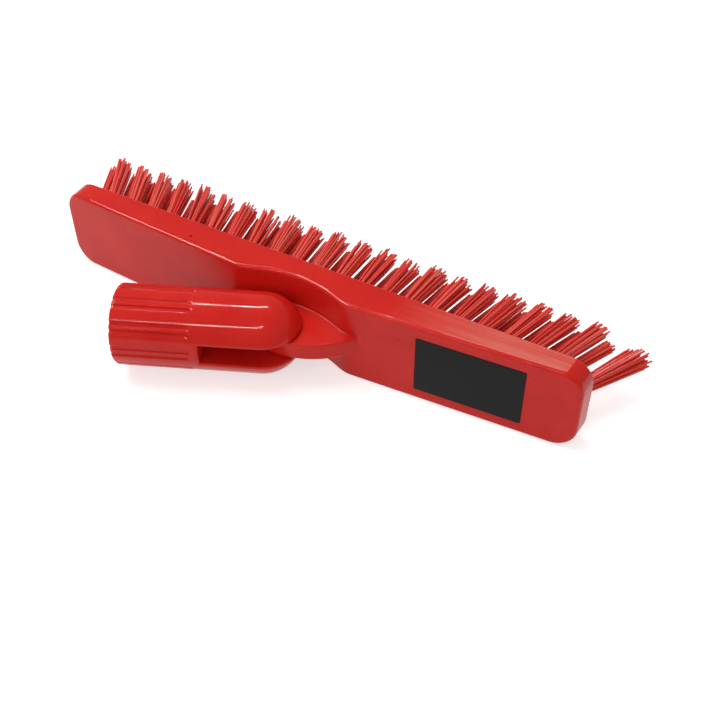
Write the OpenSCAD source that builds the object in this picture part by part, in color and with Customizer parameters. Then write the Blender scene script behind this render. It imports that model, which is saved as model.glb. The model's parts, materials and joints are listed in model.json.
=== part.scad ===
// Grout brush: a long narrow block with two staggered rows of stiff tufts, and a
// handle socket that swivels on a half-round tongue moulded on the back of the block.
// The block lies on one of its long side walls, as it does when it is put down.
// X runs along the block, Y towards the bristle tips and Z up.

/* [Block] */
// Length of the block
block_l = 225; // [200:1:260]
// Width of the block, between its two long side walls
block_w = 35; // [30:0.5:42]
// Thickness of each wing where it meets the middle dip
wing_t = 14.9; // [13.5:0.1:17]
// Thickness of each wing at its end
end_t = 8.8; // [8:0.1:12]
// Radius of the corners at the ends of the block
corner_r = 9; // [5:0.5:12]
// Radius on the edges of the back
back_edge_r = 1.5; // [0.8:0.1:2.5]
// Radius on the edges of the dip
dip_edge_r = 1.75; // [1.05:0.1:2.75]
// Width of the dip in the middle of the back
dip_w = 44; // [40:1:50]
// Thickness that is left in the middle of the dip
dip_t = 9.5; // [8.8:0.1:10]
// Distance from the origin forward to the bristle face
face_y = 5; // [3:0.5:6]

/* [Tongue] */
// Width of the tongue where it leaves the wings
tongue_w = 56.8; // [54:0.4:62]
// Thickness of the tongue
tongue_t = 7.3; // [6:0.1:9]
// Plastic between the pivot axis and the rim of the tongue
tongue_lip = 7.2; // [6:0.1:9]
// Radius on the edges of the rim
tongue_edge_r = 0.8; // [0.4:0.1:1.5]

/* [Handle socket] */
// Diameter of the pole that pushes into the socket
pole_d = 22; // [20:0.5:25]
// Radial gap between pole and socket
pole_gap = 0.1; // [0.05:0.05:0.3]
// Wall of the socket around the pole
socket_wall = 4.3; // [3.6:0.1:5]
// Depth of the hole for the pole
bore_l = 29; // [24:1:40]
// Chamfer on the mouth of the hole, and on the outside rim
mouth_chamfer = 0.8; // [0.4:0.1:1.2]
// Plastic between the hole for the pole and the slot for the tongue
web_t = 4; // [3:0.5:8]
// Distance from the domed tip to the pivot axis
pivot_in = 9.4; // [8.5:0.1:10.5]
// Gap between the tongue and each cheek of the slot
cheek_gap = 0.55; // [0.3:0.05:0.8]
// Free length between the tongue and the closed end of the slot when folded
slot_run = 6; // [2:0.5:10]
// Number of grip flutes around the mouth end
flute_n = 10; // [6:1:12]
// Depth of a flute
flute_depth = 0.7; // [0.4:0.1:1.2]
// Width of a flute, as an angle
flute_angle = 18; // [12:1:22]
// Width of the thin rib in the middle of a flute, as an angle
rib_angle = 6; // [3:1:8]
// Distance from the closed end of the slot to the end of the flutes
flute_stop = 2.7; // [1.5:0.1:3.5]

/* [Pivot] */
// Diameter of the pivot pin
pin_d = 5; // [4:0.5:6]
// Radial gap between pin and tongue
pin_gap = 0.08; // [0.03:0.01:0.1]
// Radial gap between pin and cheeks
pin_seat_gap = 0.02; // [0.01:0.01:0.05]
// Plastic that covers the blind end of the pin
pin_cover = 2.7; // [2:0.1:4]
// Depth of the open end of the pin inside the lower cheek
pin_recess = 2.2; // [1.8:0.1:3]
// Angle that the socket folds to each side from straight
fold_angle = 66; // [50:1:66]
// Gap between the cheeks and the dip when folded
fold_gap = 0.4; // [0.3:0.05:1]

/* [Label] */
// Length of the blank label
label_l = 41.4; // [30:0.2:50]
// Height of the blank label
label_h = 25; // [18:0.5:27]
// Thickness of the label
label_t = 0.25; // [0.15:0.05:0.4]
// Distance from the label to the end of the block
label_end = 20.2; // [12:0.2:26]

/* [Bristles] */
// Distance between tufts along a row
tuft_pitch = 9.6; // [9:0.1:12]
// Least distance from an end tuft to the end of the block
tuft_margin = 3.6; // [3.6:0.1:8]
// Distance of the middle of both rows from the middle of the block
row_shift = -3.2; // [-4:0.1:4]
// Distance between the two rows at the bristle face
row_gap = 8; // [7:0.1:11]
// Distance between the two rows at the bristle tips
tip_gap = 4.1; // [4:0.1:7]
// Height of the bristle tips over the bristle face
trim_h = 34.6; // [25:0.2:40]
// Radius of the fan that the tufts open into along the block
fan_r = 220; // [200:1:1000]
// Place along the block of the middle of the fan
fan_x = 4.6; // [-20:0.2:45]
// Lean of the two rows across each other, along the block, as a slope
row_cross = 0.09; // [0:0.01:0.12]
// Extra lean of the last tuft at the label end, as a slope
splay = 0.05; // [0:0.01:0.1]
// How much lower that tuft ends, because it is bent outwards
splay_drop = 2.8; // [0:0.1:4]
// Diameter of the tuft holes
tuft_d = 4.1; // [3.6:0.1:4.4]
// Radial gap between a tuft and its hole
tuft_gap = 0.05; // [0.02:0.01:0.08]
// Depth of the tuft holes, along the hole
tuft_hole_l = 6.5; // [5.5:0.1:6.5]
// Strands in a tuft
strand_n = 10; // [7:1:11]
// Width of a strand
strand_w = 0.7; // [0.5:0.02:0.7]
// Widest difference in the height of the strands
trim_error = 1.6; // [0:0.1:3]
// Length of the wire anchor across a tuft hole
anchor_l = 5.2; // [5:0.1:6]
// Height of the wire anchor
anchor_h = 1.8; // [1.2:0.1:2.2]
// Thickness of the wire anchor
anchor_t = 0.45; // [0.3:0.05:0.6]

/* [Hidden] */
$fn = 96;
eps = 0.01;
red = [0.84, 0.15, 0.13];
bristle_red = [0.80, 0.20, 0.20];

mid_z = block_w / 2;

// Each back face slopes from wing_t at the dip to end_t at the end
dip_half = dip_w / 2;
wing_slope = (wing_t - end_t) / (block_l / 2 - dip_half);
wing_angle = atan(wing_slope);
apex_t = wing_t + dip_half * wing_slope;
wing_l = block_l / 2 / cos(wing_angle) + back_edge_r * tan(wing_angle);

// The dip is a round arc through its two ends and its middle
dip_depth = wing_t - dip_t;
dip_r = (dip_half * dip_half + dip_depth * dip_depth) / (2 * dip_depth);

// Socket sizes, measured along its own axis from the pivot
bore_r = pole_d / 2 + pole_gap;
socket_r = bore_r + socket_wall;
dome_z = socket_r - pivot_in;
cheek_h = sqrt(socket_r * socket_r - dome_z * dome_z);

// The pivot is far enough back for the folded cheeks to clear the dip
rest_turn = 90 - fold_angle;
dome_x = dome_z * cos(rest_turn);
dome_reach = dip_r - socket_r - fold_gap;
pivot_y = dip_t + dip_r - sqrt(dome_reach * dome_reach - dome_x * dome_x) - dome_z * sin(rest_turn);

// The tongue's rim is an arc from wing to wing, a lip's width past the pivot
tongue_root = apex_t - tongue_w / 2 * wing_slope;
tongue_reach = pivot_y + tongue_lip;
tongue_rise = tongue_reach - tongue_root;
tongue_r = (tongue_w * tongue_w / 4 + tongue_rise * tongue_rise) / (2 * tongue_rise);
tongue_y = tongue_reach - tongue_r;

// How far the tongue reaches into the folded socket
tongue_arm = pivot_y - tongue_y;
sweep_side = tongue_arm * sin(fold_angle) - socket_r;
tongue_sweep = sqrt(tongue_r * tongue_r - sweep_side * sweep_side) - tongue_arm * cos(fold_angle);
slot_w = tongue_t + 2 * cheek_gap;
slot_z = tongue_sweep + slot_run;
bore_z = slot_z + web_t;
mouth_z = bore_z + bore_l;
flute_z = slot_z + flute_stop;

pin_r = pin_d / 2;
pin_low = cheek_h - pin_recess;
pin_high = cheek_h - pin_cover;

// Tufts: the lower row fills the length, the upper row stands beside it without its two ends
lower_n = floor((block_l - 2 * tuft_margin - 2 * abs(row_shift)) / tuft_pitch) + 1;
upper_n = lower_n - 2;
lower_first = row_shift - (lower_n - 1) * tuft_pitch / 2;
upper_first = lower_first + tuft_pitch;
tuft_r = tuft_d / 2;
plug_r = tuft_r - tuft_gap;
ring_r = plug_r - strand_w * 0.82;
ring_turn = 30;
core_r = ring_r * 0.43;
core_turn = 70;
core_n = 3;
tip_spread = 1.65;
strand_root = 1;
anchor_y = tuft_hole_l * 0.7;
anchor_slack = 0.03;

LOWER = [for (i = [1 : lower_n]) str("lower_tuft_", i)];
UPPER = [for (i = [1 : upper_n]) str("upper_tuft_", i)];

// A row is -1 for the lower and 1 for the upper
function first_x(row) = row < 0 ? lower_first : upper_first;
function row_n(row) = row < 0 ? lower_n : upper_n;
function root_x(row, i) = first_x(row) + (i - 1) * tuft_pitch;
function root_z(row) = mid_z + row * row_gap / 2;
function is_last(row, i) = row < 0 && i == lower_n;
function lean_x(row, i) =
    (root_x(row, i) - fan_x) / fan_r - row * row_cross + (is_last(row, i) ? splay : 0);
function lean_z(row) = row * (tip_gap - row_gap) / 2 / trim_h;
function tip_y(row, i) = trim_h - (is_last(row, i) ? splay_drop : 0);
function on_axis(row, i, y) = [
    root_x(row, i) + lean_x(row, i) * y,
    y,
    root_z(row) + lean_z(row) * y
];

// Puts a piece that is drawn from the bristle face into the part's own frame
module from_face() {
    translate([0, face_y, 0]) children();
}

// Turns +Z to the direction of v
module aim(v) {
    rotate([0, acos(v[2] / norm(v)), atan2(v[1], v[0])]) children();
}

// A rectangle w by h that has round lower corners
module round_foot(w, h, r) {
    translate([r, 0]) square([w - 2 * r, h]);
    translate([0, r]) square([w, h - r]);
    for (x = [r, w - r]) translate([x, r]) circle(r);
}

// Half of that rectangle, for a revolved corner
module round_foot_half(r_out, h, r) {
    square([r_out - r, h]);
    translate([0, r]) square([r_out, h - r]);
    translate([r_out - r, r]) circle(r);
}

// One wing with a flat back at y = 0, its end at x = wing_l and its edges rounded
module wing_blank() {
    depth = 1.25 * apex_t;
    reach_in = 0.9 * dip_half;
    straight = wing_l - corner_r;
    translate([-reach_in, 0, 0])
        rotate([90, 0, 90])
            linear_extrude(straight + reach_in)
                rotate([0, 0, 90]) mirror([0, 1, 0]) round_foot(block_w, depth, back_edge_r);
    translate([wing_l - 2 * corner_r, 0, corner_r])
        linear_extrude(block_w - 2 * corner_r)
            round_foot(2 * corner_r, depth, back_edge_r);
    for (z = [corner_r, block_w - corner_r])
        translate([straight, 0, z])
            rotate([-90, 0, 0])
                rotate_extrude() round_foot_half(corner_r, depth, back_edge_r);
}

module wing(side) {
    mirror([side < 0 ? 1 : 0, 0, 0])
        translate([0, -apex_t, 0])
            rotate([0, 0, wing_angle])
                children();
}

// What the dip takes away, with a flare that rounds the edges of the dip
module dip_cutter() {
    over = 2;
    flare = dip_edge_r;
    translate([0, -dip_t - dip_r, 0])
        rotate_extrude($fn = 180) {
            translate([0, -over]) square([dip_r, block_w + 2 * over]);
            difference() {
                translate([dip_r - eps, block_w - flare]) square([flare + eps, flare + over]);
                translate([dip_r + flare, block_w - flare]) circle(flare);
            }
            difference() {
                translate([dip_r - eps, -over]) square([flare + eps, flare + over]);
                translate([dip_r + flare, flare]) circle(flare);
            }
        }
}

module tongue() {
    front = 0.8 * dip_t;
    flat_r = tongue_r - tongue_edge_r;
    intersection() {
        translate([0, -tongue_y, mid_z])
            rotate_extrude($fn = 180) {
                translate([0, -tongue_t / 2]) square([flat_r, tongue_t]);
                translate([0, tongue_edge_r - tongue_t / 2])
                    square([tongue_r, tongue_t - 2 * tongue_edge_r]);
                for (s = [-1, 1])
                    translate([flat_r, s * (tongue_t / 2 - tongue_edge_r)]) circle(tongue_edge_r);
            }
        translate([-tongue_w, -tongue_reach - 1, 0])
            cube([2 * tongue_w, tongue_reach + 1 - front, block_w]);
    }
}

module tuft_hole(row, i) {
    v = on_axis(row, i, 1) - on_axis(row, i, 0);
    translate(on_axis(row, i, 0))
        aim(v)
            translate([0, 0, -tuft_hole_l])
                cylinder(r = tuft_r, h = 2 * tuft_hole_l, $fn = 32);
}

module anchor(row, i, slack) {
    size = [anchor_t + 2 * slack, anchor_h + 2 * slack, anchor_l + 2 * slack];
    translate(on_axis(row, i, -anchor_y) - size / 2) cube(size);
}

module brush_block() {
    color(red)
        from_face()
            difference() {
                union() {
                    difference() {
                        union() {
                            wing(-1) wing_blank();
                            wing(1) wing_blank();
                        }
                        translate([-block_l, 0, -1]) cube([2 * block_l, 2 * apex_t, block_w + 2]);
                        dip_cutter();
                    }
                    tongue();
                }
                translate([0, -pivot_y, 0]) cylinder(r = pin_r + pin_gap, h = block_w);
                for (row = [-1, 1])
                    for (i = [1 : row_n(row)]) {
                        tuft_hole(row, i);
                        anchor(row, i, anchor_slack);
                    }
            }
}

// Turns a piece drawn along the socket's axis into its folded place on the tongue
module folded() {
    translate([0, -pivot_y, mid_z])
        rotate([0, 0, rest_turn])
            rotate([0, -90, 0])
                children();
}

module flute() {
    side_angle = (flute_angle - rib_angle) / 2;
    for (a = [-flute_angle / 2, rib_angle / 2])
        rotate([0, 0, a])
            rotate_extrude(angle = side_angle)
                translate([socket_r - flute_depth, 0])
                    square([flute_depth + 1, mouth_z - flute_z + 1]);
}

module handle_socket() {
    color(red)
        from_face()
            folded()
                difference() {
                    union() {
                        translate([0, 0, dome_z]) sphere(socket_r);
                        translate([0, 0, dome_z])
                            cylinder(r = socket_r, h = mouth_z - dome_z - mouth_chamfer);
                        translate([0, 0, mouth_z - mouth_chamfer])
                            cylinder(r1 = socket_r, r2 = socket_r - mouth_chamfer, h = mouth_chamfer);
                    }
                    translate([-slot_w / 2, -socket_r - 1, -pivot_in - 1])
                        cube([slot_w, 2 * socket_r + 2, slot_z + pivot_in + 1]);
                    translate([0, 0, bore_z]) cylinder(r = bore_r, h = bore_l + 1);
                    translate([0, 0, mouth_z - mouth_chamfer])
                        cylinder(r1 = bore_r, r2 = bore_r + mouth_chamfer, h = mouth_chamfer + eps);
                    for (i = [0 : flute_n - 1])
                        rotate([0, 0, 90 + i * 360 / flute_n]) translate([0, 0, flute_z]) flute();
                    translate([-socket_r - 1, 0, 0])
                        rotate([0, 90, 0])
                            cylinder(r = pin_r + pin_seat_gap, h = socket_r + 1 + pin_high, $fn = 48);
                }
}

module pivot_pin() {
    tip = 0.4;
    color("silver")
        from_face()
            translate([0, -pivot_y, mid_z - pin_low]) {
                cylinder(r1 = pin_r - tip, r2 = pin_r, h = tip, $fn = 48);
                translate([0, 0, tip]) cylinder(r = pin_r, h = pin_low + pin_high - 2 * tip, $fn = 48);
                translate([0, 0, pin_low + pin_high - tip])
                    cylinder(r1 = pin_r, r2 = pin_r - tip, h = tip, $fn = 48);
            }
}

module blank_label() {
    label_x = wing_l - label_end - label_l;
    color([0.07, 0.07, 0.08])
        from_face()
            wing(1)
                translate([label_x, -label_t, mid_z - label_h / 2])
                    cube([label_l, label_t, label_h]);
}

module tuft_anchors() {
    color("gray")
        from_face()
            for (row = [-1, 1])
                for (i = [1 : row_n(row)]) anchor(row, i, 0);
}

// The middle of a strand, at height y over the bristle face
function strand_at(row, i, k, y) =
    let (
        inner = k < core_n,
        r = inner ? core_r : ring_r,
        a = inner ? core_turn + k * 360 / core_n : ring_turn + (k - core_n) * 360 / (strand_n - core_n),
        spread = 1 + (tip_spread - 1) * y / trim_h
    )
    on_axis(row, i, y) + r * spread * [cos(a), 0, sin(a)];

// A four-sided strand from a to b, with triangles for faces
module strand(a, b) {
    h = strand_w / 2;
    foot = [[-h, 0, -h], [h, 0, -h], [h, 0, h], [-h, 0, h]];
    points = concat([for (p = foot) a + p], [for (p = foot) b + p]);
    sides = [for (j = [0 : 3]) each [[j, (j + 1) % 4, j + 4], [(j + 1) % 4, (j + 1) % 4 + 4, j + 4]]];
    ends = [[0, 2, 1], [0, 3, 2], [4, 5, 6], [4, 6, 7]];
    polyhedron(points, concat(sides, ends));
}

// One tuft: its strands, fused to the round plug that fills the hole
module tuft(row, i) {
    v = on_axis(row, i, 1) - on_axis(row, i, 0);
    cuts = rands(-trim_error, 0, strand_n, 100 * i + row);
    inside = 3 * tuft_hole_l;
    color(bristle_red)
        from_face() {
            difference() {
                intersection() {
                    translate(on_axis(row, i, 0))
                        aim(v)
                            translate([0, 0, tuft_gap - tuft_hole_l])
                                cylinder(r = plug_r, h = 2 * tuft_hole_l, $fn = 32);
                    translate(on_axis(row, i, 0) - [inside / 2, inside, inside / 2]) cube(inside);
                }
                anchor(row, i, anchor_slack);
            }
            for (k = [0 : strand_n - 1])
                strand(
                    strand_at(row, i, k, -strand_root),
                    strand_at(row, i, k, tip_y(row, i) + cuts[k])
                );
        }
}

brush_block();
handle_socket();
pivot_pin();
blank_label();
tuft_anchors();
for (i = [1 : lower_n])
    tuft(-1, i);
for (i = [1 : upper_n])
    tuft(1, i);
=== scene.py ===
import json
import math
import random

import bmesh
import bpy
import numpy as np
from mathutils import Matrix, Vector


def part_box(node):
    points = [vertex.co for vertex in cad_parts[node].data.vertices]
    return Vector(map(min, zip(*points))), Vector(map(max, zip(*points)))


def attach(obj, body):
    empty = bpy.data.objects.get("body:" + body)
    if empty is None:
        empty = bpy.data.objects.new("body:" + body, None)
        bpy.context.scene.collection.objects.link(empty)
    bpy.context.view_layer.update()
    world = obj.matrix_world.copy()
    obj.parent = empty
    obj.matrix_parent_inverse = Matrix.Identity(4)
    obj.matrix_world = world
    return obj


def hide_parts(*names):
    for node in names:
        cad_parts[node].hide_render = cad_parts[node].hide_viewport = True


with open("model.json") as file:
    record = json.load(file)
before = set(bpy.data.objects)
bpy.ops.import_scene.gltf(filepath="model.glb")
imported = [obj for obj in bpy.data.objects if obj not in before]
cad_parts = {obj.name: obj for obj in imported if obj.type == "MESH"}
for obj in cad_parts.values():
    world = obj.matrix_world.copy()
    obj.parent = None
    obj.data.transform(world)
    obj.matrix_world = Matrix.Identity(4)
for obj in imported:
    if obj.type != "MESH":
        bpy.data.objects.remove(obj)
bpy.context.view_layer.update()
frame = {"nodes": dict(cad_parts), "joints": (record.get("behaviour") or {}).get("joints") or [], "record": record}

# Camera and light
# The brush lies on white paper in a light tent, and the camera looks down at it from the label
# end. Two tubes draw the thin lines on the socket, and a sheet of light those on the block's edges.
LENS_MM = 52.883
CAMERA_PLACE = Vector((0.170767, -0.256993, 0.281366))
CAMERA_TURN, CAMERA_DOWN, CAMERA_ROLL = (math.radians(a) for a in (-29.729, 43.555, -0.155))
TENT_LIGHT, TENT_SEEN = 0.42, 1.0
PAPER_GLOW = 0.6
PAPER_REACH = 3.0


def look_matrix(turn, down, roll):
    """The turn of a camera that looks along +Y when all three angles are 0."""
    ahead = Vector((math.sin(turn) * math.cos(down), math.cos(turn) * math.cos(down), -math.sin(down)))
    side = Vector((math.cos(turn), -math.sin(turn), 0))
    upward = side.cross(ahead)
    right = side * math.cos(roll) + upward * math.sin(roll)
    top = upward * math.cos(roll) - side * math.sin(roll)
    return Matrix((right, top, -ahead)).transposed().to_4x4()


camera = bpy.data.objects.new("camera", bpy.data.cameras.new("camera"))
camera.data.sensor_width = 36
camera.data.lens = LENS_MM
camera.data.clip_start = 0.01
camera.matrix_world = Matrix.Translation(CAMERA_PLACE) @ look_matrix(CAMERA_TURN, CAMERA_DOWN, CAMERA_ROLL)
bpy.context.scene.collection.objects.link(camera)
bpy.context.scene.camera = camera


def lamp(name, toward, reach, size, power, along=(1, 0, 0), matt=True, gloss=True):
    """A flat lamp aimed at the middle of the brush, for the matt light, the gloss or both."""
    data = bpy.data.lights.new(name, "AREA")
    data.shape = "RECTANGLE"
    data.size, data.size_y = size
    data.energy = power
    back = Vector(toward).normalized()
    long_side = (Vector(along) - back * back.dot(Vector(along))).normalized()
    turn = Matrix((long_side, back.cross(long_side), back)).transposed().to_4x4()
    holder = bpy.data.objects.new(name, data)
    holder.matrix_world = Matrix.Translation(back * reach) @ turn
    holder.visible_diffuse, holder.visible_glossy = matt, gloss
    bpy.context.scene.collection.objects.link(holder)


lamp("tent_top", (-0.35, 0.05, 0.94), 1.1, (0.9, 0.7), 7.2, gloss=False)
lamp("fill_front", (0.1, -0.85, 0.52), 1.0, (0.9, 0.5), 1.5, gloss=False)
lamp("tube_back", (-0.36, 0.26, 0.92), 1.0, (0.8, 0.012), 5.5, along=(-0.8, -0.6, 0.1), matt=False)
lamp("tube_front", (0.02, -0.69, 0.79), 1.0, (0.75, 0.012), 2.8, along=(0.76, 0.6, 0.3), matt=False)
lamp("edge_sheet", (-0.56, -0.235, 0.79), 1.0, (0.35, 0.3), 6, matt=False)

world = bpy.data.worlds.new("tent")
bpy.context.scene.world = world
world.use_nodes = True
tent = world.node_tree.nodes["Background"]
tent.inputs["Color"].default_value = (1, 1, 1, 1)
# Seen by the camera itself, the tent is white, and brighter than the light it gives
sky_nodes, sky_links = world.node_tree.nodes, world.node_tree.links
sky = sky_nodes.new("ShaderNodeMapRange")
sky.inputs["To Min"].default_value = TENT_LIGHT
sky.inputs["To Max"].default_value = TENT_SEEN
sky_links.new(sky_nodes.new("ShaderNodeLightPath").outputs["Is Camera Ray"], sky.inputs["Value"])
sky_links.new(sky.outputs["Result"], tent.inputs["Strength"])
bpy.context.scene.view_settings.view_transform = "Standard"


def seen_white(nodes, links):
    """1 where the camera sees a surface by itself or in a polished or clear piece, and else 0."""
    path = nodes.new("ShaderNodeLightPath")
    total = path.outputs["Is Camera Ray"]
    for ray in ("Is Glossy Ray", "Is Transmission Ray"):
        both = nodes.new("ShaderNodeMath")
        both.operation = "MAXIMUM"
        links.new(total, both.inputs[0])
        links.new(path.outputs[ray], both.inputs[1])
        total = both.outputs[0]
    return total


table_mesh = bpy.data.meshes.new("table")
corners = [(x * PAPER_REACH, y * PAPER_REACH, 0) for x, y in ((-1, -1), (1, -1), (1, 1), (-1, 1))]
table_mesh.from_pydata(corners, [], [(0, 1, 2, 3)])
table = bpy.data.objects.new("table", table_mesh)
bpy.context.scene.collection.objects.link(table)
paper = bpy.data.materials.new("white_paper")
paper.use_nodes = True
links, nodes = paper.node_tree.links, paper.node_tree.nodes
sheet = nodes["Principled BSDF"]
sheet.inputs["Base Color"].default_value = (0.78, 0.78, 0.78, 1)
sheet.inputs["Roughness"].default_value = 0.9
sheet.inputs["Specular IOR Level"].default_value = 0.1
sheet.inputs["Emission Color"].default_value = (1, 1, 1, 1)
glow = nodes.new("ShaderNodeMath")
glow.operation = "MULTIPLY"
glow.inputs[1].default_value = PAPER_GLOW
links.new(seen_white(nodes, links), glow.inputs[0])
links.new(glow.outputs[0], sheet.inputs["Emission Strength"])
table.data.materials.append(paper)


# Brush block
# One moulding in glossy red polypropylene: two wings that thin towards round ends, a dip in
# the back that the pole socket swings in, and a half-round tongue that stands in the dip.
block_low, block_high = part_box("brush_block")
HALF_LENGTH = (block_high.x - block_low.x) / 2
WIDTH = block_high.z - block_low.z
MID_Z = (block_high.z + block_low.z) / 2
FACE_Y = block_high.y
WING_T, END_T = 0.0149, 0.0088
DIP_HALF, DIP_T = 0.022, 0.0095
DIP_RUNOUT, SOFT_EDGE = 0.006, 0.002
CORNER_R, EDGE_R, FACE_EDGE_R = 0.009, 0.0015, 0.0004
TONGUE_HALF, TONGUE_T = 0.0284, 0.0073
TONGUE_EDGE_R, TONGUE_ROOT_R = 0.0008, 0.0004
TONGUE_SUNK, TONGUE_SUNK_TURN = 0.003, 0.02
SEARCH_FROM, SEARCH_PAST, SEARCH_STEPS = 0.005, 1.1, 40
SLOPE_STEP, LEAST_STEEP, ROOT_SINK = 1e-5, 0.35, 0.00002
TUFT_R, TUFT_HOLE_L = 0.00205, 0.0065
PIVOT = Vector(frame["joints"][0]["pos_m"])
low_pin, high_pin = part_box("pivot_pin")
PIN_R = (high_pin.x - low_pin.x) / 2
PIN_GAP = 0.00008
PIN_SIDES = 48
FLAT_FACE_WEIGHT = 90

wing_slope = (WING_T - END_T) / (HALF_LENGTH - DIP_HALF)
dip_depth = WING_T - DIP_T
dip_r = (DIP_HALF**2 + dip_depth**2) / (2 * dip_depth)


def block_depth(x):
    """Thickness of the block at x: a straight wing that runs over a soft edge into the dip."""
    wing = WING_T + (DIP_HALF - abs(x)) * wing_slope
    dip = DIP_T + dip_r - math.sqrt(dip_r**2 - min(abs(x), dip_r * 0.95) ** 2)
    near = max(SOFT_EDGE - abs(wing - dip), 0) / SOFT_EDGE
    return min(wing, dip) - near**2 * SOFT_EDGE / 4


def skin(name, grids, sharp=38):
    """A mesh from grids of points whose edges meet, with its open rims closed."""
    shape = bmesh.new()
    for grid in grids:
        rows = [[shape.verts.new(p) for p in row] for row in grid]
        for near, far in zip(rows, rows[1:]):
            for corners in zip(near, near[1:], far[1:], far):
                shape.faces.new(corners)
    bmesh.ops.remove_doubles(shape, verts=shape.verts, dist=2e-6)
    bmesh.ops.holes_fill(shape, edges=shape.edges)
    bmesh.ops.recalc_face_normals(shape, faces=shape.faces)
    return finished(name, shape, sharp)


def finished(name, shape, sharp=38):
    """An object of its own from a bmesh, smooth but for its sharp edges."""
    mesh = bpy.data.meshes.new(name)
    for face in shape.faces:
        face.smooth = True
    shape.to_mesh(mesh)
    shape.free()
    mesh.set_sharp_from_angle(angle=math.radians(sharp))
    piece = bpy.data.objects.new(name, mesh)
    bpy.context.scene.collection.objects.link(piece)
    return piece


def cut(piece, tool, how="DIFFERENCE", sharp=38):
    """Cuts a tool out of a piece, or joins it on, and removes the tool."""
    work = piece.modifiers.new("cut", "BOOLEAN")
    work.object, work.operation, work.solver = tool, how, "EXACT"
    after = piece.evaluated_get(bpy.context.evaluated_depsgraph_get())
    mesh = bpy.data.meshes.new_from_object(after)
    piece.modifiers.clear()
    piece.data = mesh
    mesh.polygons.foreach_set("use_smooth", [True] * len(mesh.polygons))
    mesh.set_sharp_from_angle(angle=math.radians(sharp))
    bpy.data.objects.remove(tool)


def level(piece):
    """Keeps the shading of the wide flat faces flat, up to the roundings beside them."""
    even = piece.modifiers.new("level", "WEIGHTED_NORMAL")
    even.weight, even.keep_sharp = FLAT_FACE_WEIGHT, True
    after = piece.evaluated_get(bpy.context.evaluated_depsgraph_get())
    mesh = bpy.data.meshes.new_from_object(after)
    piece.modifiers.clear()
    piece.data = mesh


def rods(name, ends, radius, sides=32):
    """Round rods between pairs of points, in one mesh."""
    shape = bmesh.new()
    for start, stop in ends:
        run = stop - start
        turn = run.to_track_quat("Z", "Y").to_matrix().to_4x4()
        bmesh.ops.create_cone(
            shape, cap_ends=True, segments=sides, radius1=radius, radius2=radius,
            depth=run.length, matrix=Matrix.Translation((start + stop) / 2) @ turn,
        )
    return finished(name, shape)


# The outline seen from the back, as columns from end to end: each has its place along the
# block and half its height, a little inside the edge by inset.
CORNER_STEPS, END_STEPS = 9, 10
straight = HALF_LENGTH - CORNER_R
wing_marks = np.linspace(DIP_HALF + DIP_RUNOUT, straight, 16)
dip_marks = np.linspace(0, DIP_HALF + DIP_RUNOUT, 26)[:-1]
half_marks = [*dip_marks, *wing_marks]
marks = [-x for x in half_marks[:0:-1]] + half_marks
corner_angles = np.linspace(0, math.pi / 2, CORNER_STEPS)


def block_columns(inset):
    """The columns of the outline, drawn in by inset."""
    reach = CORNER_R - inset
    turn_in = [
        (straight + reach * math.cos(a), WIDTH / 2 - CORNER_R + reach * math.sin(a))
        for a in corner_angles
    ]
    left = [(-x, h) for x, h in turn_in[:-1]]
    right = turn_in[-2::-1]
    return left + [(x, WIDTH / 2 - inset) for x in marks] + right


def block_point(x, z, depth):
    """A point of the block, with the end walls leaning out a little towards the back."""
    at_end = min(max((abs(x) - straight) / CORNER_R + 1, 0), 1)
    lean = math.copysign(wing_slope * (depth - END_T) * at_end, x)
    return (x + lean, FACE_Y - depth, z)


def block_ring(inset, depth_at):
    """One closed loop round the block: along the bottom, up an end, back along the top and down."""
    columns = block_columns(inset)
    (left_x, left_h), (right_x, right_h) = columns[0], columns[-1]
    steps = np.linspace(-1, 1, END_STEPS + 1)
    flat = [(x, MID_Z - h) for x, h in columns[:-1]]
    flat += [(right_x, MID_Z + right_h * s) for s in steps]
    flat += [(x, MID_Z + h) for x, h in columns[-2:0:-1]]
    flat += [(left_x, MID_Z + left_h * s) for s in steps[::-1]]
    return [block_point(x, z, depth_at(x)) for x, z in flat]


def block_cover(inset, depth_at):
    """The face that fills such a loop."""
    steps = np.linspace(-1, 1, END_STEPS + 1)
    return [
        [block_point(x, MID_Z + h * s, depth_at(x)) for s in steps]
        for x, h in block_columns(inset)
    ]


def wall_depth(x, share):
    """A depth between the bristle face's rounding and that of the back."""
    return FACE_EDGE_R + (block_depth(x) - EDGE_R - FACE_EDGE_R) * share


walls = []
for a in np.linspace(0, math.pi / 2, 4):
    sunk = FACE_EDGE_R * (1 - math.cos(a))
    walls.append(block_ring(FACE_EDGE_R * (1 - math.sin(a)), lambda x: sunk))
for share in (0.25, 0.5, 0.75):
    walls.append(block_ring(0, lambda x: wall_depth(x, share)))
for a in np.linspace(0, math.pi / 2, 8):
    sunk = EDGE_R * (1 - math.sin(a))
    walls.append(block_ring(EDGE_R * (1 - math.cos(a)), lambda x: block_depth(x) - sunk))
covers = [block_cover(FACE_EDGE_R, lambda x: 0), block_cover(EDGE_R, block_depth)]
block = skin("brush_block_body", [walls, *covers])

# The tongue is a thin disc about a point in front of the block. Its sides flare where they
# leave the dip, and its rim is rounded.
tongue_reach = FACE_Y - block_low.y
tongue_rise = tongue_reach - block_depth(TONGUE_HALF)
tongue_r = (TONGUE_HALF**2 + tongue_rise**2) / (2 * tongue_rise)
disc_depth = tongue_reach - tongue_r


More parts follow.
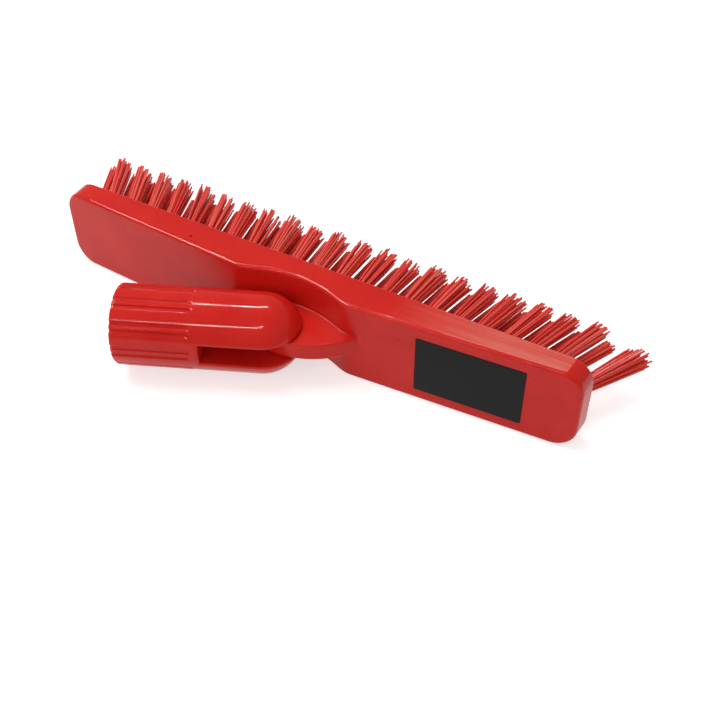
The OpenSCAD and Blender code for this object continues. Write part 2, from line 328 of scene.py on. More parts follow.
def tongue_section(turn):
    """The tongue's section on the line that leaves the disc's middle at an angle."""
    across, back = math.sin(turn), math.cos(turn)
    low, high = SEARCH_FROM, tongue_r * SEARCH_PAST
    for _ in range(SEARCH_STEPS):
        r = (low + high) / 2
        if disc_depth + r * back < block_depth(r * across):
            low = r
        else:
            high = r
    rise = block_depth(r * across + SLOPE_STEP) - block_depth(r * across - SLOPE_STEP)
    slope = rise / (2 * SLOPE_STEP)
    steep = max((back - across * slope) / math.hypot(1, slope), LEAST_STEEP)
    top = tongue_r - TONGUE_EDGE_R
    half = TONGUE_T / 2
    points = [(r - TONGUE_SUNK, half + TONGUE_ROOT_R)]
    for a in np.linspace(0, math.pi / 2, 7):
        height = TONGUE_ROOT_R * (1 - math.cos(a)) - ROOT_SINK
        points.append((min(r + height / steep, top), half + TONGUE_ROOT_R * (1 - math.sin(a))))
    for a in np.linspace(0, math.pi / 2, 6):
        points.append((top + TONGUE_EDGE_R * math.sin(a), half - TONGUE_EDGE_R * (1 - math.cos(a))))
    both = points + [(r, -w) for r, w in points[::-1]]
    both.append(both[0])
    return [(r * across, FACE_Y - disc_depth - r * back, MID_Z + w) for r, w in both]


tongue_turn = math.asin(TONGUE_HALF / tongue_r) + TONGUE_SUNK_TURN
tongue_turns = np.linspace(-tongue_turn, tongue_turn, 73)
tongue = skin("tongue", [[tongue_section(a) for a in tongue_turns]])
cut(block, tongue, "UNION")
pin_line = [(Vector((PIVOT.x, PIVOT.y, 0)), Vector((PIVOT.x, PIVOT.y, WIDTH)))]
cut(block, rods("pin_hole", pin_line, PIN_R + PIN_GAP, PIN_SIDES))

# The tufts stand in two rows of drilled holes, in step with the tuft nodes of the frame.
LOWER_N = sum(name.startswith("lower_tuft_") for name in frame["nodes"])
UPPER_N = sum(name.startswith("upper_tuft_") for name in frame["nodes"])
PITCH, ROW_SHIFT, ROW_GAP = 0.0096, -0.0032, 0.008
TIP_GAP, TRIM_H = 0.0041, 0.0346
FAN_R, FAN_X, ROW_CROSS, SPLAY = 0.22, 0.0046, 0.09, 0.02
DRILL_OVER = 0.004
lower_first = ROW_SHIFT - (LOWER_N - 1) * PITCH / 2
upper_first = lower_first + PITCH


def tuft_axis(row, i):
    """Root of tuft i at the bristle face, and how far it leans for each metre of height."""
    x = (lower_first if row < 0 else upper_first) + i * PITCH
    splay = SPLAY if row < 0 and i == LOWER_N - 1 else 0
    along = (x - FAN_X) / FAN_R - row * ROW_CROSS + splay
    lean = Vector((along, 1, row * (TIP_GAP - ROW_GAP) / 2 / TRIM_H))
    return Vector((x, FACE_Y, MID_Z + row * ROW_GAP / 2)), lean


holes = []
for row, count in ((-1, LOWER_N), (1, UPPER_N)):
    for i in range(count):
        root, lean = tuft_axis(row, i)
        holes.append((root - lean.normalized() * TUFT_HOLE_L, root + lean.normalized() * DRILL_OVER))
cut(block, rods("tuft_holes", holes, TUFT_R))

# A small pit from the moulding, in the upper side wall
PIT = Vector((-0.0488, FACE_Y - 0.0087, WIDTH))
PIT_R, PIT_DEEP = 0.0006, 0.0008
SIDE_DULL, SIDE_LEAN = 0.22, 0.35
# The pale streaked patch on the top wall's flat is a painted sheen that stands for a lamp's reflection, and it is
# made rougher there too.
PAINTED_SHEEN_TINT, SHEEN_PATCH_DULL = (0.74, 0.16, 0.12, 1), 0.3
pit = bmesh.new()
pit_place = Matrix.Translation(PIT) @ Matrix.Diagonal((PIT_R, PIT_R, PIT_DEEP, 1))
bmesh.ops.create_uvsphere(pit, u_segments=20, v_segments=12, radius=1, matrix=pit_place)
cut(block, finished("pit", pit))


def moulded_red(name, tint=(0.66, 0.013, 0.009), rough=(0.05, 0.1), sheen_from=None):
    """Glossy red polypropylene, duller on upright walls, with flow clouds and scuffs.

    The top wall's flat can get a painted sheen: a paler patch in fine streaks that stands for a lamp's reflection,
    and is rougher there. sheen_from says over which stretch of x that sets in.
    """
    plastic = bpy.data.materials.new(name)
    plastic.use_nodes = True
    links, nodes = plastic.node_tree.links, plastic.node_tree.nodes
    shader = nodes["Principled BSDF"]
    shader.inputs["IOR"].default_value = 1.49
    shader.inputs["Specular IOR Level"].default_value = 0.22
    place = nodes.new("ShaderNodeTexCoord").outputs["Object"]

    def noise(scale, detail=3, rough=0.55, twist=0):
        cloud = nodes.new("ShaderNodeTexNoise")
        cloud.inputs["Scale"].default_value = scale
        cloud.inputs["Detail"].default_value = detail
        cloud.inputs["Roughness"].default_value = rough
        cloud.inputs["Distortion"].default_value = twist
        links.new(place, cloud.inputs["Vector"])
        return cloud.outputs["Fac"]

    def maths(how, first, second):
        step = nodes.new("ShaderNodeMath")
        step.operation = how
        links.new(first, step.inputs[0])
        if isinstance(second, bpy.types.NodeSocket):
            links.new(second, step.inputs[1])
        else:
            step.inputs[1].default_value = second
        return step.outputs[0]

    def spread(value, low, high, source_low=0.3, source_high=0.7):
        fit = nodes.new("ShaderNodeMapRange")
        fit.inputs["From Min"].default_value = source_low
        fit.inputs["From Max"].default_value = source_high
        fit.inputs["To Min"].default_value = low
        fit.inputs["To Max"].default_value = high
        links.new(value, fit.inputs["Value"])
        return fit.outputs["Result"]

    flow = nodes.new("ShaderNodeMix")
    flow.data_type = "RGBA"
    flow.inputs["A"].default_value = (*(c * 0.93 for c in tint), 1)
    flow.inputs["B"].default_value = (tint[0] * 1.05, tint[1] * 1.5, tint[2] * 1.3, 1)
    links.new(spread(noise(55, 4, 0.6, 0.6), 0, 1), flow.inputs["Factor"])
    scratched = spread(noise(900, 2, 0.5, 1.5), 0, 0.03, 0.55, 0.75)
    scuffs = maths("ADD", spread(noise(140, 5, 0.7), *rough), scratched)
    colour = flow.outputs["Result"]
    if sheen_from is not None:
        # Painted sheen: a paler patch in fine streaks along the wall, on its flat alone, standing for a lamp's
        # reflection
        sheen_streaks = nodes.new("ShaderNodeTexNoise")
        sheen_streaks.inputs["Scale"].default_value = 900
        sheen_streaks.inputs["Detail"].default_value = 4
        stretch = nodes.new("ShaderNodeMapping")
        stretch.inputs["Scale"].default_value = (0.03, 1, 1)
        links.new(place, stretch.inputs["Vector"])
        links.new(stretch.outputs["Vector"], sheen_streaks.inputs["Vector"])
        side = nodes.new("ShaderNodeSeparateXYZ")
        links.new(place, side.inputs[0])
        level_part = nodes.new("ShaderNodeSeparateXYZ")
        links.new(nodes.new("ShaderNodeNewGeometry").outputs["True Normal"], level_part.inputs[0])
        flat = spread(level_part.outputs["Z"], 0, 1, 0.985, 0.995)
        painted_sheen = maths("MULTIPLY", flat, spread(side.outputs["X"], 0, 1, *sheen_from))
        painted_sheen = maths("MULTIPLY", painted_sheen, spread(sheen_streaks.outputs["Fac"], 0.45, 1, 0.3, 0.7))
        pale = nodes.new("ShaderNodeMix")
        pale.data_type = "RGBA"
        pale.inputs["B"].default_value = PAINTED_SHEEN_TINT
        links.new(painted_sheen, pale.inputs["Factor"])
        links.new(colour, pale.inputs["A"])
        colour = pale.outputs["Result"]
        scuffs = maths("ADD", scuffs, maths("MULTIPLY", painted_sheen, SHEEN_PATCH_DULL))
    links.new(colour, shader.inputs["Base Color"])
    facing = nodes.new("ShaderNodeSeparateXYZ")
    links.new(nodes.new("ShaderNodeNewGeometry").outputs["Normal"], facing.inputs[0])
    dull_side = spread(maths("ABSOLUTE", facing.outputs["Z"], 0), SIDE_DULL, 0, 0, SIDE_LEAN)
    links.new(maths("ADD", scuffs, dull_side), shader.inputs["Roughness"])
    ripple = nodes.new("ShaderNodeBump")
    ripple.inputs["Strength"].default_value = 0.12
    ripple.inputs["Distance"].default_value = 0.0004
    links.new(noise(70, 2, 0.4), ripple.inputs["Height"])
    grain = nodes.new("ShaderNodeBump")
    grain.inputs["Strength"].default_value = 0.1
    grain.inputs["Distance"].default_value = 0.00003
    links.new(noise(2600, 2, 0.5), grain.inputs["Height"])
    links.new(ripple.outputs["Normal"], grain.inputs["Normal"])
    links.new(grain.outputs["Normal"], shader.inputs["Normal"])
    return plastic


level(block)
block.data.materials.clear()
# The block's top wall gets the painted sheen towards its label end: a paler patch that stands for a lamp's
# reflection.
block.data.materials.append(moulded_red("block_plastic", sheen_from=(0.038, 0.08)))
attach(block, "brush")
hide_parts("brush_block")


# Handle socket
# The second red moulding: a tube for the pole with ten ribbed grip flutes, a domed tip, and a
# slot through the dome. The pin joins its two cheeks to the tongue.
socket_low, socket_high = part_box("handle_socket")
pole = next(m for m in frame["record"]["mounts"] if m["name"] == "pole_socket")
AXIS = Vector(pole["axis"])
SOCKET_R = (socket_high.z - socket_low.z) / 2
BORE_R = pole["dims"]["r_mm"] / 1000
MOUTH_ROUND, BORE_ROUND = 0.0011, 0.0008
wall_middle = (Vector(pole["pos_m"]) - PIVOT).dot(AXIS)
BORE_Z = wall_middle - pole["dims"]["length_mm"] / 2000
MOUTH_Z = wall_middle + pole["dims"]["length_mm"] / 2000 + BORE_ROUND
DOME_Z = 0.006
SLOT_HALF = 0.0042
SLOT_Z = BORE_Z - 0.004
SLOT_EDGE_R = 0.0007
FLUTE_N, FLUTE_DEPTH, FLUTE_Z = 10, 0.0007, SLOT_Z + 0.0027
FLUTE_RISE, FLUTE_FULL_Z = 0.0012, FLUTE_Z + 0.0026
FLUTE_HALF, RIB_HALF = math.radians(9), math.radians(3)
RIB_LOW = 0.12
FLUTE_SOFT_IN, FLUTE_SOFT_OUT = 0.025, 0.003
RIB_SOFT_IN, RIB_SOFT_OUT = 0.012, 0.018
CHEEK_GAP, CHEEK_OVER = 0.00002, 0.001
SOCKET_SHARP = 42
LATERAL = Vector((0, 0, 1)).cross(AXIS)


def socket_point(t, across, up):
    """A point at t along the socket's axis from the pivot."""
    return PIVOT + AXIS * t + LATERAL * across + Vector((0, 0, up))


def step_up(value, start, stop):
    """0 before start, 1 after stop, and a smooth rise between."""
    share = min(max((value - start) / (stop - start), 0), 1)
    return share * share * (3 - 2 * share)


def socket_radius(turn, t):
    """Radius of the tube at an angle about its axis: smooth, or sunk in a flute."""
    off = abs((turn + math.pi / FLUTE_N) % (2 * math.pi / FLUTE_N) - math.pi / FLUTE_N)
    into_flute = 1 - step_up(off, FLUTE_HALF - FLUTE_SOFT_IN, FLUTE_HALF + FLUTE_SOFT_OUT)
    rib_side = step_up(off, RIB_HALF - RIB_SOFT_IN, RIB_HALF + RIB_SOFT_OUT)
    off_rib = RIB_LOW + (1 - RIB_LOW) * rib_side
    rounded = math.sqrt(max(1 - (off / FLUTE_HALF) ** 2, 0))
    start = FLUTE_Z + FLUTE_RISE * (1 - rounded)
    return SOCKET_R - FLUTE_DEPTH * into_flute * off_rib * step_up(t, start, start + FLUTE_RISE)


# Rows of the cheeks, from the middle of the slot wall over its rounded edge to the ridge line
edge_middle = math.sqrt((SOCKET_R - SLOT_EDGE_R) ** 2 - (SLOT_HALF + SLOT_EDGE_R) ** 2)
edge_turn = math.atan2(SLOT_HALF + SLOT_EDGE_R, edge_middle)
EDGE_STEPS, SIDE_STEPS, CHEEK_STEPS = 5, 32, 58
edge_rows = [
    (edge_middle + SLOT_EDGE_R * math.cos(a), SLOT_HALF + SLOT_EDGE_R * (1 + math.sin(a)))
    for a in np.linspace(-math.pi / 2, edge_turn, EDGE_STEPS + 1)
]
end_round = SOCKET_R - math.hypot(*edge_rows[0])


def end_place(across, up):
    """Where a row of the slot's edge stops at the closed end, so that the two roundings meet."""
    lift = min(max((math.hypot(across, up) - SOCKET_R + end_round) / end_round, 0), 1)
    return SLOT_Z + end_round * (1 - math.sqrt(1 - lift * lift))


outer_turns = np.linspace(edge_turn, math.pi / 2, CHEEK_STEPS + 1)
outer_rows = [(SOCKET_R * math.cos(a), SOCKET_R * math.sin(a)) for a in outer_turns[1:]]
wall_rows = [(edge_middle * s, SLOT_HALF) for s in (0, 0.25, 0.5, 0.75)]
dome_turns = np.linspace(0, math.pi, 33)


def cheek_row(across, up, end, side):
    """One line of a cheek: along one side, round the dome and back along the other side."""
    run = np.linspace(end, DOME_Z, 12)
    there = [socket_point(t, across, up * side) for t in run[:-1]]
    dome = [
        socket_point(DOME_Z - across * math.sin(a), across * math.cos(a), up * side)
        for a in dome_turns
    ]
    back = [socket_point(t, -across, up * side) for t in run[-2::-1]]
    return there + dome + back


grids = []
for side in (1, -1):
    rows = [cheek_row(a, u, SLOT_Z, side) for a, u in wall_rows]
    rows += [cheek_row(a, u, end_place(a, u), side) for a, u in edge_rows]
    rows += [cheek_row(a, u, SLOT_Z + end_round, side) for a, u in outer_rows]
    grids.append(rows)

# The closed end of the slot, flat between two rounded edges
for side in (1, -1):
    rounding = []
    for across, up in edge_rows:
        reach, turn = math.hypot(across, up), math.atan2(up, across)
        start = end_place(across, up)
        rounding.append([
            socket_point(start, side * reach * math.cos(a), reach * math.sin(a))
            for a in np.linspace(turn, -turn, SIDE_STEPS + 1)
        ])
    grids.append(rounding)
reach, turn = math.hypot(*edge_rows[0]), math.atan2(edge_rows[0][1], edge_rows[0][0])
shares = (1, 0.75, 0.5, 0.25, 0, -0.25, -0.5, -0.75, -1)
grids.append([
    [socket_point(SLOT_Z, reach * math.cos(a) * s, reach * math.sin(a)) for s in shares]
    for a in np.linspace(turn, -turn, SIDE_STEPS + 1)
])

# The tube, with its flutes, its rounded mouth and the hole for the pole
side_turns = np.linspace(-edge_turn, edge_turn, SIDE_STEPS + 1)
top_turns = [*outer_turns, *(math.pi - outer_turns[-2::-1])]
around = [*side_turns[:-1], *top_turns[:-1]]
around += [*(side_turns[:-1] + math.pi), *(np.array(top_turns) + math.pi)]
tube_marks = [*np.linspace(SLOT_Z + end_round, FLUTE_Z, 4)]
tube_marks += [*np.linspace(FLUTE_Z, FLUTE_FULL_Z, 9)[1:]]
tube_marks += [*np.linspace(FLUTE_FULL_Z, MOUTH_Z - MOUTH_ROUND, 12)[1:]]
tube = []
for t in tube_marks:
    tube.append([(socket_radius(a, t), t) for a in around])
for b in np.linspace(0, math.pi / 2, 7)[1:]:
    t = MOUTH_Z - MOUTH_ROUND * (1 - math.sin(b))
    tube.append([(socket_radius(a, t) - MOUTH_ROUND * (1 - math.cos(b)), t) for a in around])
for b in np.linspace(math.pi / 2, 0, 6):
    r, t = BORE_R + BORE_ROUND * (1 - math.cos(b)), MOUTH_Z - BORE_ROUND * (1 - math.sin(b))
    tube.append([(r, t) for a in around])
for t in np.linspace(MOUTH_Z - BORE_ROUND, BORE_Z, 8)[1:]:
    tube.append([(BORE_R, t) for a in around])
for r in (BORE_R * 0.75, BORE_R * 0.5, BORE_R * 0.25):
    tube.append([(r, BORE_Z) for a in around])
grids.append([
    [socket_point(t, r * math.cos(a), r * math.sin(a)) for (r, t), a in zip(row, around)]
    for row in tube
])
socket = skin("handle_socket_body", grids, SOCKET_SHARP)
cheek_line = [(Vector((PIVOT.x, PIVOT.y, -CHEEK_OVER)), Vector((PIVOT.x, PIVOT.y, high_pin.z)))]
cheek_hole = rods("cheek_hole", cheek_line, PIN_R + CHEEK_GAP, PIN_SIDES)
cut(socket, cheek_hole, sharp=SOCKET_SHARP)
level(socket)
socket.data.materials.clear()
socket.data.materials.append(moulded_red("socket_plastic", rough=(0.045, 0.085)))
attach(socket, "handle")
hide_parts("handle_socket")


# Pivot pin and wire anchors
# The pin is turned steel, pushed in from below. Each tuft is held by a flat wire staple that
# bites into the walls of its hole.
def drawn_steel(name, tint, rough, stretch):
    """Bare steel with fine lines that run round or along the piece."""
    steel = bpy.data.materials.new(name)
    steel.use_nodes = True
    links, nodes = steel.node_tree.links, steel.node_tree.nodes
    shader = nodes["Principled BSDF"]
    shader.inputs["Metallic"].default_value = 1
    place = nodes.new("ShaderNodeMapping")
    place.inputs["Scale"].default_value = stretch
    links.new(nodes.new("ShaderNodeTexCoord").outputs["Object"], place.inputs["Vector"])
    lines = nodes.new("ShaderNodeTexNoise")
    lines.inputs["Scale"].default_value = 900
    lines.inputs["Detail"].default_value = 4
    links.new(place.outputs["Vector"], lines.inputs["Vector"])
    tone = nodes.new("ShaderNodeMix")
    tone.data_type = "RGBA"
    tone.inputs["A"].default_value = (*(c * 0.8 for c in tint), 1)
    tone.inputs["B"].default_value = (*tint, 1)
    links.new(lines.outputs["Fac"], tone.inputs["Factor"])
    links.new(tone.outputs["Result"], shader.inputs["Base Color"])
    wear = nodes.new("ShaderNodeMapRange")
    wear.inputs["To Min"].default_value = rough * 0.7
    wear.inputs["To Max"].default_value = rough * 1.3
    links.new(lines.outputs["Fac"], wear.inputs["Value"])
    links.new(wear.outputs["Result"], shader.inputs["Roughness"])
    groove = nodes.new("ShaderNodeBump")
    groove.inputs["Strength"].default_value = 0.25
    groove.inputs["Distance"].default_value = 0.00004
    links.new(lines.outputs["Fac"], groove.inputs["Height"])
    links.new(groove.outputs["Normal"], shader.inputs["Normal"])
    return steel


for node, slot, rough, stretch in (
    ("pivot_pin", "pin_steel", 0.28, (0.15, 0.15, 2.5)),
    ("tuft_anchors", "anchor_wire", 0.35, (2.0, 2.0, 0.1)),
):
    wire = drawn_steel(slot, (0.62, 0.62, 0.64), rough, stretch)
    frame["nodes"][node].data.materials.clear()
    frame["nodes"][node].data.materials.append(wire)


# Blank label
# A black film, stuck on the flat back of the wing. Its corners are rounded by the die that
# cut it, and its edge is rolled down to the plastic.
LABEL_L, LABEL_H, LABEL_T = 0.0414, 0.025, 0.00025
LABEL_END, LABEL_CORNER = 0.0202, 0.0006
LABEL_WALL, LABEL_ROLL = 0.4, 1.2
wing_angle = math.atan(wing_slope)
apex = Vector((0, FACE_Y - WING_T - DIP_HALF * wing_slope, MID_Z))
along_wing = Vector((math.cos(wing_angle), math.sin(wing_angle), 0))
off_wing = Vector((along_wing.y, -along_wing.x, 0))
wing_l = HALF_LENGTH / math.cos(wing_angle) + EDGE_R * math.tan(wing_angle)
label_middle = apex + along_wing * (wing_l - LABEL_END - LABEL_L / 2)


def label_ring(inset, height):
    """The outline of the film, drawn in by inset, at a height over the wing."""
    reach = LABEL_CORNER - inset
    ring = []
    for sx, sz, start in ((1, 1, 0), (-1, 1, 90), (-1, -1, 180), (1, -1, 270)):
        for a in np.radians(np.linspace(start, start + 90, 6)):
            x = sx * (LABEL_L / 2 - LABEL_CORNER) + reach * math.cos(a)
            z = sz * (LABEL_H / 2 - LABEL_CORNER) + reach * math.sin(a)
            ring.append(label_middle + along_wing * x + Vector((0, 0, z)) + off_wing * height)
    return ring + ring[:1]


rings = [label_ring(0, 0), label_ring(0, LABEL_T * LABEL_WALL)]
for a in np.linspace(0, math.pi / 2, 5)[1:]:
    height = LABEL_T * (LABEL_WALL + (1 - LABEL_WALL) * math.sin(a))
    rings.append(label_ring(LABEL_T * LABEL_ROLL * (1 - math.cos(a)), height))
label = skin("label_film", [rings])

film = bpy.data.materials.new("label_film")
film.use_nodes = True
links, nodes = film.node_tree.links, film.node_tree.nodes
shader = nodes["Principled BSDF"]
shader.inputs["Specular IOR Level"].default_value = 0.12
place = nodes.new("ShaderNodeTexCoord").outputs["Object"]
fibres = nodes.new("ShaderNodeTexNoise")
fibres.inputs["Scale"].default_value = 420
fibres.inputs["Detail"].default_value = 6
links.new(place, fibres.inputs["Vector"])
tone = nodes.new("ShaderNodeMix")
tone.data_type = "RGBA"
tone.inputs["A"].default_value = (0.006, 0.006, 0.006, 1)
tone.inputs["B"].default_value = (0.012, 0.0118, 0.0112, 1)
links.new(fibres.outputs["Fac"], tone.inputs["Factor"])
links.new(tone.outputs["Result"], shader.inputs["Base Color"])
wear = nodes.new("ShaderNodeMapRange")
wear.inputs["To Min"].default_value = 0.38
wear.inputs["To Max"].default_value = 0.55
links.new(fibres.outputs["Fac"], wear.inputs["Value"])
links.new(wear.outputs["Result"], shader.inputs["Roughness"])
dimple = nodes.new("ShaderNodeBump")
dimple.inputs["Strength"].default_value = 0.15
dimple.inputs["Distance"].default_value = 0.00005
links.new(fibres.outputs["Fac"], dimple.inputs["Height"])
links.new(dimple.outputs["Normal"], shader.inputs["Normal"])
label.data.materials.append(film)
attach(label, "brush")
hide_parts("blank_label")


# Tufts
# Each tuft is a bunch of stiff nylon filaments, folded in half round its staple, pushed into
# its hole and trimmed. The filaments spread, and no two end at quite the same height.
FILAMENTS, FILAMENT_R = 42, 0.0004
FILAMENT_STEPS, FILAMENT_SIDES = 6, 6
TIP_SPREAD, TRIM_ERROR, SUNK = 2.3, 0.0005, 0.003
STRAY, BEND_IN, BEND_OUT = 0.0003, -0.7, 0.1
GOLDEN_TURN, TURN_ERROR, FILL_POWER = 2.399963, 0.35, 0.42
LOWER_FLARE, LOWER_TRIM = 0.5, -0.0015
UPPER_FLARE, FULL_FLARE, FULL_TUFTS = 1.05, 1.25, 9
FIRST_FLARE, FIRST_TRIM = 1.0, -0.0016
LAST_FLARE, LAST_TRIM = 1.75, -0.0026
SHORT_TUFT, SHORT_TRIM = 4, -0.004


def socket_id(tree, name):
    """The identifier of a modifier's input."""
    return next(item.identifier for item in tree.interface.items_tree if item.name == name)


def tuft_tree(material):
    """Turns one point for each tuft, with its lean, into a bunch of separate filaments."""
    tree = bpy.data.node_groups.new("tufts", "GeometryNodeTree")
    face = tree.interface
    face.new_socket("Geometry", in_out="INPUT", socket_type="NodeSocketGeometry")
    face.new_socket("Geometry", in_out="OUTPUT", socket_type="NodeSocketGeometry")
    for label in ("Filaments", "Seed"):
        face.new_socket(label, in_out="INPUT", socket_type="NodeSocketInt")
    for label in ("Bunch radius", "Thickness", "Height", "Sunk", "Tip spread", "Trim error"):
        face.new_socket(label, in_out="INPUT", socket_type="NodeSocketFloat")
    nodes, links = tree.nodes, tree.links
    given = nodes.new("NodeGroupInput")
    made = nodes.new("NodeGroupOutput")

    def node(kind, **settings):
        new = nodes.new(kind)
        for name, value in settings.items():
            setattr(new, name, value)
        return new

    def feed(target, *values):
        sockets = [s for s in target.inputs if s.enabled]
        for slot, value in zip(sockets, values):
            if isinstance(value, bpy.types.NodeSocket):
                links.new(value, slot)
            else:
                slot.default_value = value
        return next(s for s in target.outputs if s.enabled)

    def maths(how, *values):
        return feed(node("ShaderNodeMath", operation=how), *values)

    def vector(how, *values):
        return feed(node("ShaderNodeVectorMath", operation=how), *values)

    def scaled(vec, by):
        new = node("ShaderNodeVectorMath", operation="SCALE")
        links.new(vec, new.inputs[0])
        links.new(by, new.inputs["Scale"])
        return new.outputs[0]

    def chance(low, high, salt):
        """A number of its own for each filament."""
        new = node("FunctionNodeRandomValue", data_type="FLOAT")
        links.new(maths("ADD", given.outputs["Seed"], salt), new.inputs["Seed"])
        new.inputs["Min"].default_value = low
        new.inputs["Max"].default_value = high
        return new.outputs["Value"]

    def keep(geometry, name, value, kind):
        new = node("GeometryNodeStoreNamedAttribute", data_type=kind, domain="POINT")
        links.new(geometry, new.inputs["Geometry"])
        new.inputs["Name"].default_value = name
        links.new(value, new.inputs["Value"])
        return new.outputs["Geometry"]

    def kept(name, kind):
        new = node("GeometryNodeInputNamedAttribute", data_type=kind)
        new.inputs["Name"].default_value = name
        return new.outputs["Attribute"]

    copies = node("GeometryNodeDuplicateElements", domain="POINT")
    links.new(given.outputs["Geometry"], copies.inputs["Geometry"])
    links.new(given.outputs["Filaments"], copies.inputs["Amount"])
    # Seeds of a sunflower fill the round hole evenly, with a little disorder
    number = copies.outputs["Duplicate Index"]
    share = maths("DIVIDE", maths("ADD", number, 0.5), given.outputs["Filaments"])
    turn = maths("ADD", maths("MULTIPLY", number, GOLDEN_TURN), chance(-TURN_ERROR, TURN_ERROR, 1))
    reach = maths("MULTIPLY", maths("POWER", share, FILL_POWER), given.outputs["Bunch radius"])
    ring = node("ShaderNodeCombineXYZ")
    links.new(maths("MULTIPLY", reach, maths("COSINE", turn)), ring.inputs["X"])
    links.new(maths("MULTIPLY", reach, maths("SINE", turn)), ring.inputs["Z"])
    points = keep(copies.outputs["Geometry"], "offset", ring.outputs[0], "FLOAT_VECTOR")
    widening = maths("MULTIPLY", given.outputs["Tip spread"], chance(0.95, 1.05, 2))
    widening = maths("MULTIPLY", maths("SUBTRACT", widening, 1.0), kept("flare", "FLOAT"))
    points = keep(points, "spread", maths("ADD", 1.0, widening), "FLOAT")
    error = maths("MULTIPLY", given.outputs["Trim error"], chance(-1.0, 0.0, 3))
    error = maths("ADD", error, kept("trim", "FLOAT"))
    points = keep(points, "top", maths("ADD", given.outputs["Height"], error), "FLOAT")
    opening = maths("SUBTRACT", kept("spread", "FLOAT"), 1.0)
    points = keep(points, "bend", maths("MULTIPLY", opening, chance(BEND_IN, BEND_OUT, 4)), "FLOAT")
    stray = node("ShaderNodeCombineXYZ")
    links.new(chance(-STRAY, STRAY, 5), stray.inputs["X"])
    links.new(chance(-STRAY, STRAY, 6), stray.inputs["Z"])
    points = keep(points, "stray", stray.outputs[0], "FLOAT_VECTOR")
    points = keep(points, "tone", chance(0.0, 1.0, 7), "FLOAT")

    unit = node("GeometryNodeCurvePrimitiveLine")
    unit.inputs["Start"].default_value = (0, 0, 0)
    unit.inputs["End"].default_value = (0, 1, 0)
    steps = node("GeometryNodeResampleCurve")
    links.new(unit.outputs["Curve"], steps.inputs["Curve"])
    steps.inputs["Count"].default_value = FILAMENT_STEPS
    place = node("GeometryNodeInstanceOnPoints")
    links.new(points, place.inputs["Points"])
    links.new(steps.outputs["Curve"], place.inputs["Instance"])
    real = node("GeometryNodeRealizeInstances")
    links.new(place.outputs["Instances"], real.inputs["Geometry"])

    # Each point of a filament: its place at the root, the lean, and the spread that grows upwards
    part = node("GeometryNodeSplineParameter").outputs["Factor"]
    length = maths("ADD", kept("top", "FLOAT"), given.outputs["Sunk"])
    height = maths("SUBTRACT", maths("MULTIPLY", length, part), given.outputs["Sunk"])
    over = maths("MAXIMUM", maths("DIVIDE", height, given.outputs["Height"]), 0.0)
    opening = maths("SUBTRACT", kept("spread", "FLOAT"), 1.0)
    widen = maths("ADD", 1.0, maths("MULTIPLY", over, opening))
    curl = maths("MULTIPLY", over, maths("SUBTRACT", over, 1.0))
    widen = maths("ADD", widen, maths("MULTIPLY", curl, kept("bend", "FLOAT")))
    spot = vector("ADD", kept("root", "FLOAT_VECTOR"), scaled(kept("lean", "FLOAT_VECTOR"), height))
    spot = vector("ADD", spot, scaled(kept("offset", "FLOAT_VECTOR"), widen))
    spot = vector("ADD", spot, scaled(kept("stray", "FLOAT_VECTOR"), maths("MULTIPLY", over, over)))
    move = node("GeometryNodeSetPosition")
    links.new(real.outputs["Geometry"], move.inputs["Geometry"])
    links.new(spot, move.inputs["Position"])
    section = node("GeometryNodeCurvePrimitiveCircle")
    section.inputs["Resolution"].default_value = FILAMENT_SIDES
    links.new(given.outputs["Thickness"], section.inputs["Radius"])
    solid = node("GeometryNodeCurveToMesh")
    links.new(move.outputs["Geometry"], solid.inputs["Curve"])
    links.new(section.outputs["Curve"], solid.inputs["Profile Curve"])
    solid.inputs["Fill Caps"].default_value = True
    whole = node("GeometryNodeRealizeInstances")
    links.new(solid.outputs["Mesh"], whole.inputs["Geometry"])
    coat = node("GeometryNodeSetMaterial")
    links.new(whole.outputs["Geometry"], coat.inputs["Geometry"])
    coat.inputs["Material"].default_value = material
    links.new(coat.outputs["Geometry"], made.inputs["Geometry"])
    return tree


fibre = bpy.data.materials.new("bristle_fibre")
fibre.use_nodes = True
links, nodes = fibre.node_tree.links, fibre.node_tree.nodes
shader = nodes["Principled BSDF"]
shader.inputs["IOR"].default_value = 1.53
shader.inputs["Roughness"].default_value = 0.3
shader.inputs["Specular IOR Level"].default_value = 0.4
tone = nodes.new("ShaderNodeAttribute")
tone.attribute_name = "tone"
shade = nodes.new("ShaderNodeMix")
shade.data_type = "RGBA"
shade.inputs["A"].default_value = (0.84, 0.034, 0.026, 1)
shade.inputs["B"].default_value = (0.97, 0.125, 0.088, 1)
links.new(tone.outputs["Fac"], shade.inputs["Factor"])
streak = nodes.new("ShaderNodeTexNoise")
streak.inputs["Scale"].default_value = 260
streak.inputs["Detail"].default_value = 3
links.new(nodes.new("ShaderNodeTexCoord").outputs["Object"], streak.inputs["Vector"])
tint = nodes.new("ShaderNodeMix")
tint.data_type = "RGBA"
tint.blend_type = "MULTIPLY"
tint.inputs["Factor"].default_value = 0.12
links.new(shade.outputs["Result"], tint.inputs["A"])
links.new(streak.outputs["Fac"], tint.inputs["B"])
links.new(tint.outputs["Result"], shader.inputs["Base Color"])

# No two tufts are alike: each flares and is trimmed a little more or less. The upper row flares
# more at its first tufts. The lower row is closed up and shorter, most of all its fifth tuft,
# but its two end tufts are splayed.
shop = random.Random(5)


def draws(low, high):
    """A number for each tuft, row by row."""
    rows = ("lower_tufts", "upper_tufts")
    return {name: [shop.uniform(low, high) for _ in range(LOWER_N)] for name in rows}


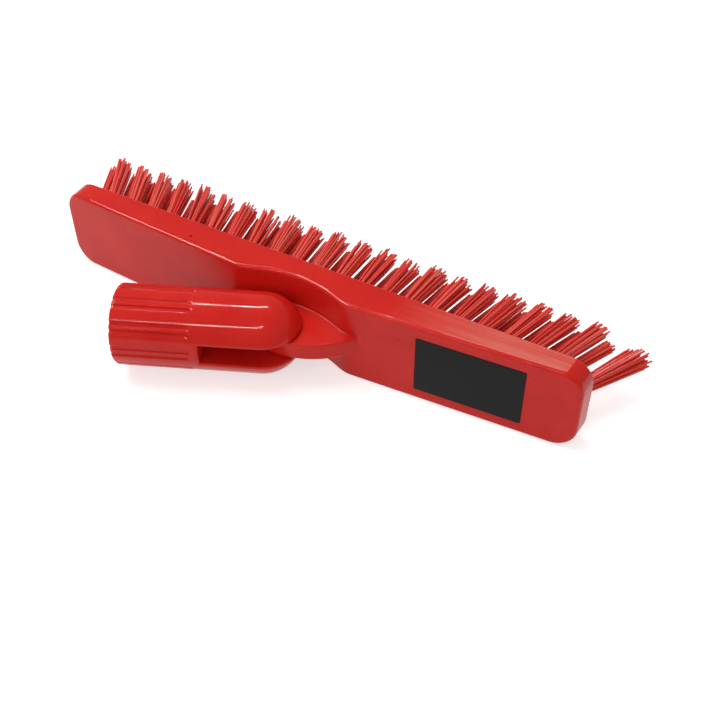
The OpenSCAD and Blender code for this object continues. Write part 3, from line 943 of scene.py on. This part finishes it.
flares = draws(0.85, 1.15)
trims = draws(-0.0008, 0.0006)
flares["lower_tufts"] = [flare * LOWER_FLARE for flare in flares["lower_tufts"]]
trims["lower_tufts"] = [trim + LOWER_TRIM for trim in trims["lower_tufts"]]
full, others = flares["upper_tufts"][:FULL_TUFTS], flares["upper_tufts"][FULL_TUFTS:]
full, others = [flare * FULL_FLARE for flare in full], [flare * UPPER_FLARE for flare in others]
flares["upper_tufts"] = full + others
flares["lower_tufts"][0], trims["lower_tufts"][0] = FIRST_FLARE, FIRST_TRIM
flares["lower_tufts"][-1], trims["lower_tufts"][-1] = LAST_FLARE, LAST_TRIM
trims["lower_tufts"][SHORT_TUFT] = SHORT_TRIM

tree = tuft_tree(fibre)
settings = {
    "Filaments": FILAMENTS, "Bunch radius": TUFT_R - FILAMENT_R, "Thickness": FILAMENT_R,
    "Height": TRIM_H, "Sunk": SUNK, "Tip spread": TIP_SPREAD, "Trim error": TRIM_ERROR,
}
for name, row, count, seed in (("lower_tufts", -1, LOWER_N, 11), ("upper_tufts", 1, UPPER_N, 29)):
    axes = [tuft_axis(row, i) for i in range(count)]
    mesh = bpy.data.meshes.new(name)
    mesh.from_pydata([root for root, _ in axes], [], [])
    for label, values in (("root", [r for r, _ in axes]), ("lean", [v for _, v in axes])):
        store = mesh.attributes.new(label, "FLOAT_VECTOR", "POINT")
        store.data.foreach_set("vector", [c for value in values for c in value])
    for label, values in (("flare", flares[name]), ("trim", trims[name])):
        store = mesh.attributes.new(label, "FLOAT", "POINT")
        store.data.foreach_set("value", values[:count])
    holder = bpy.data.objects.new(name + "_points", mesh)
    bpy.context.scene.collection.objects.link(holder)
    grow = holder.modifiers.new("tufts", "NODES")
    grow.node_group = tree
    for label, value in {**settings, "Seed": seed}.items():
        grow[socket_id(tree, label)] = value
    after = holder.evaluated_get(bpy.context.evaluated_depsgraph_get())
    bunch = bpy.data.meshes.new_from_object(after)
    bpy.data.objects.remove(holder)
    tufts = bpy.data.objects.new(name, bunch)
    bunch.polygons.foreach_set("use_smooth", [True] * len(bunch.polygons))
    bunch.set_sharp_from_angle(angle=math.radians(50))
    bpy.context.scene.collection.objects.link(tufts)
    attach(tufts, "brush")
    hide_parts(*[n for n in frame["nodes"] if n.startswith(name[:-1] + "_")])
